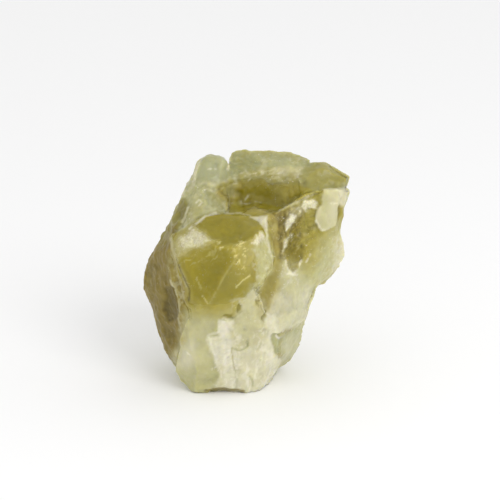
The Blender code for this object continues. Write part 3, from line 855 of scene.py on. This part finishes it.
# %% stain the clear block's faces
BLOCK = ("170,236 194,226 206,216 226,212 266,216 269,240 275,268 262,291 243,303 236,316 221,321 190,322 "
         "188,286 176,262")
LEFT_FACE = ("178,256 190,249 207,248 230,245 240,252 229,268 216,291 209,303 198,303 190,296 186,283 "
             "178,268")
RIGHT_FACE = "240,253 252,256 257,266 255,283 243,297 228,304 210,304 217,290 229,268"
stain("strip beside the block", "khaki", "266,217 276,216 277,262 272,268 268,240", border=2.0,
      strength=0.9, shine=0.4, breaks=0.2)
wisps("strip streaks", "slab brown", "265,215 276,215 276,262 267,240", slant=86, length=14, width=3.0,
      share=0.35, strength=0.5, seed=83)
stain("block", "olive", BLOCK, border=3.0, shine=0.7, breaks=0.1, glints=0.2)
stain("left face", "deep olive", LEFT_FACE, border=5.0, shine=0.9, breaks=0.0)
stain("honey corner", "honey", "178,256 200,250 206,262 196,276 184,270", border=8.0, strength=0.5)
stain("dark heart", "bottle", "208,268 226,262 222,280 212,292", border=8.0, strength=0.3)
wisps("left veils", "bright olive", LEFT_FACE, slant=58, length=26, width=5.0, share=0.2, strength=0.3,
      seed=85)
# painted sheen: golden glints on the veils of the left face
wisps("glinting gold veils", "glint gold", "178,256 190,249 226,245 236,252 216,262 190,268", slant=-32, length=16,
      width=2.6, share=0.15, strength=0.22, seed=86)
stain("right face", "olive", RIGHT_FACE, border=1.3, shine=0.85, breaks=0.05, fray=1.5)
stain("right light", "bright olive", "230,270 238,256 256,262 256,280 244,290", border=7.0, strength=0.45)
stain("right face's foot", "deep olive", "214,302 219,290 236,286 246,288 240,296 228,302", strength=0.5)
stain("bright shoulder", "bright olive", "226,246 252,240 258,256 252,270 240,268", border=6.0,
      strength=0.8, shine=0.6, breaks=0.3, glints=1.0)
stain("hazy shoulder", "straw", "238,246 254,240 260,254 254,268 244,266", border=6.0, strength=0.15)
stain("glow at the foot", "bright olive", "187,306 209,305 228,304 244,297 240,314 221,322 188,328",
      border=7.0, strength=0.85, shine=0.6)
stain("milky left foot", "pale green", "184,312 214,312 232,310 236,326 184,332", border=8.0, strength=0.6)
stain("milky right foot", "pale green", "238,302 253,287 266,284 262,300 240,314", border=5.0, strength=0.7)
wisps("foot streaks", "cream", "228,306 254,282 270,284 258,302 236,318", slant=-40, length=12, width=3.0,
      share=0.3, strength=0.45, seed=81)
tally("clear block")

# %% its lens and its pale facet
LENS = "194,227 206,217 225,214 250,217 262,226 258,232 250,238 240,243 222,244 214,240 207,235 200,230"
stain("lens", "deep olive", LENS, border=1.3, shine=0.9, breaks=0.0, glints=0.05, fray=1.2)
stain("light end", "bright olive", "240,218 252,219 261,227 252,236 242,234", border=6.0, strength=0.3)
stain("lens shade", "dark olive", LENS, border=5.0, strength=0.35)
stain("honey patch", "honey", "206,222 222,217 234,224 228,238 214,236", border=6.0, strength=0.3)
wisps("lens veils", "bottle", LENS, slant=80, length=14, width=5.0, share=0.15, strength=0.25, seed=87)
stain("pale facet", "pale green", "255,240 268,236 276,268 264,290 255,286 258,262 252,248", border=3.0,
      strength=0.85, shine=0.3, breaks=0.3, glints=0.5)
wisps("facet streaks", "cream", "250,238 268,234 276,268 264,291 254,282", slant=62, length=14, width=3.0,
      share=0.25, strength=0.45, seed=82)
wisps("cross streaks", "khaki", "250,238 268,234 276,268 264,291 254,282", slant=-15, length=10, width=2.4,
      share=0.2, strength=0.4, seed=88)
tally("lens and facet")

# %% its frost, the painted highlights on its edges, and glinting scratches
stain("frosted corner", "straw", "174,246 180,236 192,228 204,232 215,241 207,248 192,250 180,256",
      border=5.0, strength=0.55, shine=0.2, breaks=0.7, white=0.42, glints=0.4)
stain("thick of the frost", "straw", "179,242 186,234 194,230 204,235 208,242 200,247 186,248",
      strength=0.5, breaks=0.9, white=0.6)
stain("white corner", "white", "250,217 267,216 268,237 264,229 258,222", border=1.1, strength=0.6,
      shine=0.3, breaks=0.3, fray=1.4)
stain("white chip", "straw", "248,244 254,237 263,233 264,238 256,245", border=1.6, strength=0.85,
      shine=0.0, breaks=0.9, white=0.55)
# painted highlights: straw and cream lines where the block's left and right edges and the lens's rims catch
# the light
vein("left edge", "straw", "170,238 174,250 178,262 184,274 188,286", width=2.6, strength=0.55, whole=0.9)
vein("light by the left edge", "bright olive", "181,262 187,276 192,290 193,302", width=1.8, strength=0.5,
     whole=0.7)
vein("shadow of the left edge", "bark", "177,259 184,275 190,290 190,300", width=1.2, strength=0.8)
vein("lit left rim of the lens", "cream", "190,229 197,224 206,217 216,214", width=1.7, strength=0.85)
vein("lit top rim of the lens", "cream", "216,214 236,213 252,216", width=1.0, strength=0.5, whole=0.5)
vein("right edge", "cream", "265,218 267,240 273,264", width=1.2, whole=0.7)
# painted glints: scratches and flakes inside the block that catch the light
vein("short glinting scratch", "glint gold", "236,287 243,280 250,275", width=1.0, whole=0.9, wobble=0.2)
wisps("glinting flakes on the shoulder", "glint gold", "228,247 240,242 248,250 244,274 234,272", slant=-12, length=6,
      width=3.0, share=0.14, strength=0.7, seed=89, blur=0.3)
wisps("glinting flakes below the lens", "glint gold", "206,244 224,240 248,240 244,249 216,252", slant=-14, length=10,
      width=2.4, share=0.12, strength=0.6, seed=90, blur=0.3)
vein("long glinting scratch", "glint gold", "239,254 224,277 210,303", width=1.4, strength=0.14, whole=0.6,
     wobble=0.3)
vein("left glinting scratch", "glint gold", "198,277 200,284 202,288", width=1.3, strength=0.25, whole=0.9)
vein("lowest glinting scratch", "glint gold", "203,295 206,299 208,303", width=0.9, strength=0.35, whole=0.9,
     wobble=0.2)
tally("frost, edges and scratches")

# %% [markdown]
# ## The groove and the right foot
# A khaki groove runs down from the splintered wall. Beside it the right foot is the palest, freshest
# break of all, and ends in a jagged lower edge over a greyer heel.

# %% stain the groove and the right foot
GROOVE = "275,256 286,262 281,285 270,308 260,318 254,304 262,291 272,272"
FOOT = "284,262 296,271 314,288 316,312 307,322 294,327 283,332 272,334 264,330 264,316 270,304 281,284"
stain("groove", "khaki", GROOVE, shine=0.6, breaks=0.2)
wisps("groove veils", "bright olive", GROOVE, slant=110, length=16, width=4.0, share=0.3, strength=0.5,
      seed=92)
stain("foot", "cream", FOOT, border=5.0, strength=0.7, shine=0.35, breaks=0.25, glints=0.3)
stain("green top", "pale green", "284,256 300,262 316,280 300,296 278,290", border=9.0, strength=0.65)
stain("bruise at the top", "straw", "284,264 288,260 298,270 292,276 286,274", border=3.0, strength=0.6,
      breaks=0.9, white=0.4)
stain("blade's tip", "bottle", "284,248 304,246 301,260 296,270 292,273 287,269 285,260", border=1.6,
      strength=0.6, shine=0.6, breaks=0.6, fray=1.6)
# painted highlights: cream and white where the edges round the blade's tip catch the light
vein("light round the tip", "cream", "285,260 287,269 292,275 297,270 301,261", width=1.5, strength=0.8,
     whole=0.5)
vein("highlight under the tip", "white", "287,274 297,275", width=1.8, whole=0.7)
stain("left chip", "cream", "263,316 266,313 274,314 275,326 271,330 264,327", border=1.3, white=0.15,
      proud=0.3)
wisps("white streaks", "white", FOOT, slant=100, length=24, width=6.0, share=0.15, strength=0.25, seed=91)
stain("jagged edge", "cream", "272,320 284,314 302,308 313,313 307,321 298,323 294,329 285,328 281,333 "
      "272,333", border=1.3, strength=0.2, proud=0.25)
stain("grey middle", "sage", "276,306 300,300 314,306 308,322 290,328 274,324", border=5.0, strength=0.25)
vein("white along the edge", "white", "274,333 283,331 294,325 305,320", width=2.2, strength=0.4, whole=0.2)
tally("groove and right foot")

# %% stain the heel and the hook
stain("heel", "sage", "281,336 294,332 310,324 306,346 296,368 286,368 281,352", border=3.0, shine=0.45,
      breaks=0.05, proud=-0.1)
stain("straw light", "straw", "280,342 290,338 296,346 290,366 282,366", border=7.0, strength=0.45)
stain("cream light", "cream", "282,338 306,328 310,340 298,368 286,372", border=5.0, strength=0.25)
push("right side", "300,290 320,290 314,324 304,322", -0.6)
push("heel's undercut", "270,368 290,360 302,362 280,398 262,398", -1.0)
# painted shade: sage darkens the sunk notch of the hook under the foot's overhang
stain("hook", "sage", "269,337 273,333 281,334 282,340 279,346 280,354 276,354 273,345", border=1.4,
      shine=0.4, breaks=0.3, proud=-0.4)
vein("hook's shadow", "moss", "270,339 273,346 276,354 280,353", width=1.2, strength=0.4)
vein("hook's glint", "white", "277,336 281,338", width=1.4, strength=0.8, whole=0.9)
tally("heel and hook")

# %% [markdown]
# ## The plates at the foot
# The lower front has cracked into upright plates. Each is a cream flake with a sharp side, and between
# them the clear green stone shows through in a tongue. The small undercuts are sunk, and their dark olive
# is painted shade.

# %% stain the left foot and the plates
LEFT_FOOT = ("189,320 216,320 209,331 213,350 218,370 215,386 208,397 194,404 170,372 174,358 180,344 "
             "184,330")
PLATES = ("219,319 232,318 246,344 262,326 272,332 270,340 276,356 284,364 276,388 258,402 236,402 214,394 "
          "220,372 214,359 208,338 210,335 220,335")
TONGUE = "241,303 254,292 266,300 267,330 262,347 246,350 233,347 231,330 236,317"
stain("left foot", "pale green", LEFT_FOOT, border=9.0, shine=0.55, breaks=0.05, glints=0.1)
stain("straw top", "straw", "186,322 214,322 212,352 204,362 180,362", border=7.0, strength=0.45)
stain("cream side", "cream", "180,348 192,342 198,358 186,370 176,366", border=7.0, strength=0.75,
      shine=0.4)
wisps("left foot streaks", "straw", LEFT_FOOT, slant=72, length=26, width=7.0, share=0.25, strength=0.4,
      seed=101)
stain("plates", "cream", PLATES, border=2.0, shine=0.35, breaks=0.25, glints=0.2)
stain("tongue", "straw", TONGUE, shine=0.5, breaks=0.25, glints=0.3)
stain("green heart", "pale green", "240,310 255,304 259,330 247,342 236,336", border=7.0, strength=0.35)
stain("upper left plate", "white", "221,322 230,321 231,346 224,350", strength=0.5)
stain("lower left plate", "white", "222,352 231,350 232,372 224,368", strength=0.6, breaks=0.8, glints=1.0)
stain("white edge", "white", "229,349 232,349 233,366 231,368", border=1.2, strength=0.9, white=0.5,
      fray=1.4)
stain("cream plate", "cream", "218,352 232,352 230,384 222,374", border=3.0, strength=0.6)
wisps("crystals", "white", "214,352 234,352 264,366 266,390 230,392 214,388", slant=75, length=6, width=3.0,
      share=0.1, strength=0.8, seed=104, blur=0.2)
stain("plate's shade", "straw", "217,352 222,362 224,388 217,390 219,370", border=2.5, strength=0.6)
stain("right plate", "straw", "236,352 266,348 276,366 264,392 238,390", border=7.0, strength=0.4)
wisps("white streaks on plates", "white", PLATES, slant=84, length=20, width=3.6, share=0.25, strength=0.55,
      seed=102, blur=0.35)
wisps("grey streaks on plates", "sage", PLATES, slant=88, length=14, width=4.0, share=0.05, strength=0.3,
      seed=103)
tally("left foot and plates")

# %% undercuts in painted shade, cracks, and painted shadows and highlights
stain("end of the groove", "khaki", "267,280 280,272 276,290 270,302 266,312 261,319 257,314 253,304",
      border=1.8, strength=0.35, shine=0.6, breaks=0.2, fray=1.8)
# painted shade: olive in the sunk undercuts
stain("shaded leftmost undercut", "olive", "222,317 226,315 232,315 233,318 229,320 224,319", border=1.5,
      strength=0.9, shine=0.3, proud=-0.6)
stain("shaded middle undercut", "olive", "237,306 241,303 243,306 241,312 238,315 236,311", border=1.5,
      strength=0.9, shine=0.3, proud=-0.5)
stain("shaded rightmost undercut", "olive", "262,316 265,312 267,315 265,323 263,321", border=1.5, strength=0.7,
      shine=0.3, proud=-0.5)
stain("shaded small undercut", "olive", "255,298 259,300 258,306 255,304", border=1.3, strength=0.7, shine=0.3,
      proud=-0.4)
vein("shadow under the block", "moss", "221,319 229,321 238,315 243,310", width=1.0, groove=0.15, whole=0.5)
vein("crack between the plates", "khaki", "232,348 233,360 235,371", width=1.1, strength=0.5, groove=0.2,
     whole=0.7)
vein("lower crack", "sage", "235,371 237,380 235,392", width=1.4, strength=0.4, groove=0.15, whole=0.6)
# painted shadow: sage and moss lines under the tongue's ledge, over a shallow groove
vein("shadow under the tongue's ledge", "sage", "232,347 240,350 247,347 248,343", width=1.5, groove=0.15)
vein("shaded notch under the tongue", "moss", "247,341 248,346", width=1.8, groove=0.2, whole=0.9)
vein("low crack", "sage", "249,376 253,383 251,390", width=1.4, groove=0.15)
vein("low crack's light", "white", "247,377 248,388", width=1.8, strength=0.7)
# painted highlight: white lines along the left plate's sharp rim
vein("highlight on the plate's rim", "white", "219,331 209,334 213,350 219,371", width=1.7, strength=0.5, whole=0.7)
vein("highlight on the rim's upper end", "white", "219,320 219,331", width=1.3, whole=0.9)
# painted shadow: a dark brown line where the lump meets the ground, over a shallow groove
vein("painted contact shadow", "slab brown", "206,391 224,390 243,392", width=2.4, strength=0.8, groove=0.2)
vein("glint", "white", "187,352 190,354", width=1.4, strength=0.8, whole=0.9)
tally("undercuts and cracks")

# %% [markdown]
# ## Carving the breaks
# Calcite chips in flat splinters and in shallow steps, and its long edges never stay whole. Each kind of
# break is a height in millimetres, pushed along the way the skin faces, and the clear glassy places are
# left almost smooth. On the back the new lips are blunted a little at the end.

# %% shape each kind of break
CHIP, SMALL_CHIP = 3.0, 1.3  # mm across
STEP_SPACING = 2.6  # mm
shaken = points + 0.5 * np.stack([clouds(points, 1.8, 23), clouds(points, 1.8, 24)] * 2, axis=1)[:, :3]
swell = 0.26 * clouds(points, 7.0, 21) + 0.12 * clouds(points, 2.6, 22)
chips = splinters(shaken, CHIP, 25)
small_chips = splinters(shaken, SMALL_CHIP, 26)
steps = np.zeros(COUNT)
for number, way in enumerate(RHOMB):
    climb = points @ way / STEP_SPACING + 0.5 * clouds(points, 6.0, 30 + number, 2)
    steps += (terrace(climb) - climb) * ease(0.1, 0.4, clouds(points, 9.0, 35 + number, 2))
flutes = terrace(1.5 * clouds(points, 2.6, 40, 2, (1.0, 2.0, 3.4)))
pits = clouds(points, 0.9, 41, 2)
print("chips rise and fall by", round(float(np.abs(chips).max()), 2), "of their depth")

# %% carve
CHIP_DEPTH, SMALL_CHIP_DEPTH, PIT_DEPTH = 0.42, 0.22, 0.05  # mm
STEP_DEPTH, FLUTE_DEPTH, EDGE_WEAR = 0.5, 0.3, 0.30  # mm
BACK_BLUNTING = 0.3
PLATES_TOP = (300.0, 330.0)  # squares down the board, where the fluted plates begin
low_front = seen * ease(*PLATES_TOP, squares[:, 1])
height = (1.0 - 0.7 * np.maximum(glassy, hidden)) * swell + lift
height += broken * (CHIP_DEPTH * chips + SMALL_CHIP_DEPTH * small_chips + PIT_DEPTH * pits)
height += STEP_DEPTH * seen * broken * steps
height += low_front * broken * FLUTE_DEPTH * flutes
height -= EDGE_WEAR * ease(0.03, 0.20, edges) * ease(-0.2, 0.5, clouds(points, 2.2, 42))
height = soften(height, 1)

carved = np.clip(points + facing * height[:, None], low, high)
move_points(carved)
carved = blunt(carved, BACK_BLUNTING * hidden)
move_points(carved)
skin.shade_smooth()
print("carved between", round(float(height.min()), 2), "and", round(float(height.max()), 2), "mm")

# %% [markdown]
# ## Frost, and the thin edges
# Wherever an edge is bruised, air gets between the layers and the stone turns white. So frost follows
# the sharp edges of the carved skin and gathers in the broken places, and creases get a little painted
# shade.

# %% frost the edges
EDGE_WHITE = 0.35  # how much of the white a bruised edge takes
EDGE_FROST = 0.6
CREASE_SHADE = 0.25
relief = standing_out(carved, 3)
pale = ease(0.22, 0.50, tone[:, 0])
bruised = ease(0.03, 0.12, relief) * ease(-0.5, 0.4, clouds(points, 3.0, 51)) * (0.4 + 0.6 * broken)
bruised *= 0.05 + 0.95 * pale
coat(tone, (everywhere, EDGE_WHITE * bruised), TONES["white"])
frost = np.maximum(frost, EDGE_FROST * bruised)
mottle = 1.0 + 0.07 * clouds(points, 3.2, 52, 2) + (0.02 + 0.08 * broken) * clouds(points, 1.3, 53, 3)
# painted shade: creases are darkened a little, on top of the random mottle
tone *= (mottle * (1.0 - CREASE_SHADE * ease(0.02, 0.14, -relief)))[:, None]
print("bruised share:", round(float((bruised > 0.3).mean()), 3))


# %% keep the layers on the skin
def keep(name, kind, values):
    """Stores one value for each point of the skin, for the finish to read."""
    layer = skin.attributes.new(name, kind, "POINT")
    if kind == "FLOAT_COLOR":
        values = np.concatenate([values, np.ones((COUNT, 1))], axis=1)
    field = "color" if kind == "FLOAT_COLOR" else "value"
    layer.data.foreach_set(field, values.astype(np.float32).reshape(-1))


keep("tone", "FLOAT_COLOR", np.clip(tone, 0.0, 1.0))
for name, values in (("glassy", glassy), ("broken", broken), ("frost", frost), ("glitter", glitter)):
    keep(name, "FLOAT", values)
print("frosted share:", round(float((frost > 0.3).mean()), 3))

# %% [markdown]
# ## The finish
# Light sinks into calcite, spreads a few millimetres and comes out again, so its shadows are soft and
# its thin edges glow: that is subsurface scattering. A clear glass volume would look too empty, because
# the stone is full of veils, so only a little transmission is mixed in where it is clearest. Its own
# surface shines like wax or glass, which is the low roughness of the glassy places against dull frost.

# %% an empty material
finish = bpy.data.materials.new("green_calcite")
finish.use_nodes = True
tree = finish.node_tree
surface = tree.nodes["Principled BSDF"]


def node(kind, **settings):
    made = tree.nodes.new(kind)
    for name, value in settings.items():
        if name in made.inputs:
            made.inputs[name].default_value = value
        else:
            setattr(made, name, value)
    return made


def link(source, target):
    tree.links.new(source, target)


def stored(name):
    return node("ShaderNodeAttribute", attribute_name=name)


print("a new material has", len(tree.nodes), "nodes")


# %% tools for mixing
def spread(source, from_low, from_high, low, high):
    """Maps the source's range from_low to from_high onto low to high."""
    made = node("ShaderNodeMapRange")
    for name, value in zip(("From Min", "From Max", "To Min", "To Max"), (from_low, from_high, low, high)):
        made.inputs[name].default_value = value
    link(source, made.inputs["Value"])
    return made.outputs["Result"]


def combine(operation, first, second):
    made = node("ShaderNodeMath", operation=operation)
    link(first, made.inputs[0])
    link(second, made.inputs[1])
    return made.outputs["Value"]


def noise(size, detail, at):
    """Fine noise with puffs of so many mm."""
    made = node("ShaderNodeTexNoise", Scale=1.0 / (size * MM), Detail=detail)
    link(at, made.inputs["Vector"])
    return made.outputs["Fac"]


def blend(weight, first, second):
    made = node("ShaderNodeMix", data_type="RGBA")
    link(weight, made.inputs["Factor"])
    link(first, made.inputs["A"])
    made.inputs["B"].default_value = (*second, 1.0)
    return made.outputs["Result"]


# %% grain, rime and painted glints
GRAIN, RIME_GRAIN, GLINT_SIZE = 0.7, 0.45, 0.45  # mm
GLINT_PATCH = 4.0  # mm, because flecks lie in patches
GRAIN_STRETCH = (1.0, 1.0, 0.5)  # the grain is longer up and down than across
CLEAR_GRAIN, BROKEN_GRAIN = 0.18, 1.2  # how strong the grain is in clear and in broken stone
RIME_STARTS, RIME_ENDS = 0.70, 1.15
THICKEST_RIME = 0.9

gloss = stored("glassy").outputs["Fac"]
place = node("ShaderNodeTexCoord").outputs["Object"]
upright = node("ShaderNodeVectorMath", operation="MULTIPLY")
link(place, upright.inputs[0])
upright.inputs[1].default_value = GRAIN_STRETCH
breaks = stored("broken").outputs["Fac"]
uneven = combine("MULTIPLY", spread(noise(GRAIN, 4.0, upright.outputs["Vector"]), 0.0, 1.0, -0.5, 0.5),
                 spread(combine("MULTIPLY", breaks, breaks), 0.0, 1.0, CLEAR_GRAIN, BROKEN_GRAIN))
rime = spread(combine("ADD", noise(RIME_GRAIN, 4.0, place), stored("frost").outputs["Fac"]),
              RIME_STARTS, RIME_ENDS, 0.0, THICKEST_RIME)
# painted glints: a near-white tone blended into the base colour in tiny patches, where flakes would catch
# the light
painted_glint = combine("MULTIPLY", spread(noise(GLINT_SIZE, 2.0, place), 0.64, 0.70, 0.0, 1.0),
                spread(noise(GLINT_PATCH, 1.0, place), 0.50, 0.60, 0.0, 1.0))
painted_glint = combine("MULTIPLY", painted_glint, stored("glitter").outputs["Fac"])
print("grain, rime and flecks:", len(tree.nodes), "nodes so far")

# %% mix the finish
FROST_TONE = (0.74, 0.70, 0.53)
GLINT_TONE = (0.86, 0.84, 0.74)
DULL_ROUGHNESS, GLASSY_ROUGHNESS, FROST_ROUGHNESS = 0.55, 0.14, 0.55
BUMP_DEPTH = 0.25 * MM
RIME_HEIGHT = 0.3  # of the bump's depth
CLEAREST = 0.18  # transmission of the clearest stone
CALCITE_IOR = 1.55
SCATTER_DEPTH = 0.003  # metres
SCATTER_BY_COLOUR = (1.0, 0.85, 0.35)

shade = node("ShaderNodeVectorMath", operation="SCALE")
link(blend(rime, stored("tone").outputs["Color"], FROST_TONE), shade.inputs[0])
link(spread(uneven, 0.0, 1.0, 1.0, 2.0), shade.inputs["Scale"])
link(blend(painted_glint, shade.outputs["Vector"], GLINT_TONE), surface.inputs["Base Color"])
link(combine("MAXIMUM", spread(gloss, 0.0, 1.0, DULL_ROUGHNESS, GLASSY_ROUGHNESS),
             spread(rime, 0.0, 1.0, 0.0, FROST_ROUGHNESS)), surface.inputs["Roughness"])
bump = node("ShaderNodeBump", Strength=0.7, Distance=BUMP_DEPTH)
link(combine("ADD", uneven, spread(rime, 0.0, 1.0, 0.0, RIME_HEIGHT)), bump.inputs["Height"])
link(bump.outputs["Normal"], surface.inputs["Normal"])
link(spread(gloss, 0.4, 0.9, 0.0, CLEAREST), surface.inputs["Transmission Weight"])
for socket, value in (("IOR", CALCITE_IOR), ("Specular IOR Level", 0.3), ("Subsurface Weight", 0.85),
                      ("Subsurface Radius", SCATTER_BY_COLOUR), ("Subsurface Scale", SCATTER_DEPTH)):
    surface.inputs[socket].default_value = value
print("finish:", len(tree.nodes), "nodes")

# %% put the finish on the skin
skin.materials.clear()
skin.materials.append(finish)
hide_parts("calcite")
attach(stone, "root")
print("the skin stands for the plain solid, in", finish.name)

# %% [markdown]
# ## The floor, the light and the camera
# A stone like this is shown on a plain pale floor. Light from all around and one large soft lamp model
# its faces without hard shadows. The camera looks down by the same 20 degrees as the board leans.

# %% floor and sky
WORLD_LIGHT = 0.86
FLOOR_HALF = 3.0  # metres
scene = bpy.context.scene


def plain_floor():
    four = [(FLOOR_HALF * x, FLOOR_HALF * y, 0.0) for x, y in ((-1, -1), (1, -1), (1, 1), (-1, 1))]
    sheet = bpy.data.meshes.new("floor")
    sheet.from_pydata(four, [], [(0, 1, 2, 3)])
    floor = bpy.data.objects.new("floor", sheet)
    scene.collection.objects.link(floor)
    paint = bpy.data.materials.new("floor_paint")
    paint.use_nodes = True
    surface = paint.node_tree.nodes["Principled BSDF"]
    surface.inputs["Base Color"].default_value = (0.97, 0.97, 0.97, 1.0)
    surface.inputs["Roughness"].default_value = 0.9
    surface.inputs["Specular IOR Level"].default_value = 0.2
    sheet.materials.append(paint)
    return floor


plain_floor()
world = bpy.data.worlds.new("room")
world.use_nodes = True
world.node_tree.nodes["Background"].inputs["Color"].default_value = (1.0, 1.0, 1.0, 1.0)
world.node_tree.nodes["Background"].inputs["Strength"].default_value = WORLD_LIGHT
scene.world = world
scene.view_settings.view_transform = "Standard"
print("floor:", 2.0 * FLOOR_HALF, "m wide, sky at", WORLD_LIGHT)

# %% lamp and camera
LOOK_AT = Vector((0.000625, -0.0035, 0.03503))
DISTANCE = 0.8  # metres
VIEW_WIDTH = 0.125  # metres that the camera takes in across


def aim(thing, target):
    thing.rotation_mode = "QUATERNION"
    thing.rotation_quaternion = (target - thing.location).to_track_quat("-Z", "Y")


def soft_lamp(name, place, width, power):
    lamp = bpy.data.objects.new(name, bpy.data.lights.new(name, "AREA"))
    lamp.data.shape = "DISK"
    lamp.data.size = width
    lamp.data.energy = power
    lamp.location = LOOK_AT + Vector(place)
    aim(lamp, LOOK_AT)
    scene.collection.objects.link(lamp)


soft_lamp("key", (0.30, -0.42, 0.42), 0.35, 1.4)

camera = bpy.data.objects.new("camera", bpy.data.cameras.new("camera"))
scene.collection.objects.link(camera)
camera.location = LOOK_AT + Vector(TOWARDS_EYE) * DISTANCE
aim(camera, LOOK_AT)
camera.data.sensor_width = 36.0
camera.data.lens = camera.data.sensor_width * DISTANCE / VIEW_WIDTH
camera.data.clip_end = 10.0
scene.camera = camera
print("camera looks down by", round(math.degrees(LEAN)), "degrees")
print("its lens is", round(camera.data.lens), "mm long")
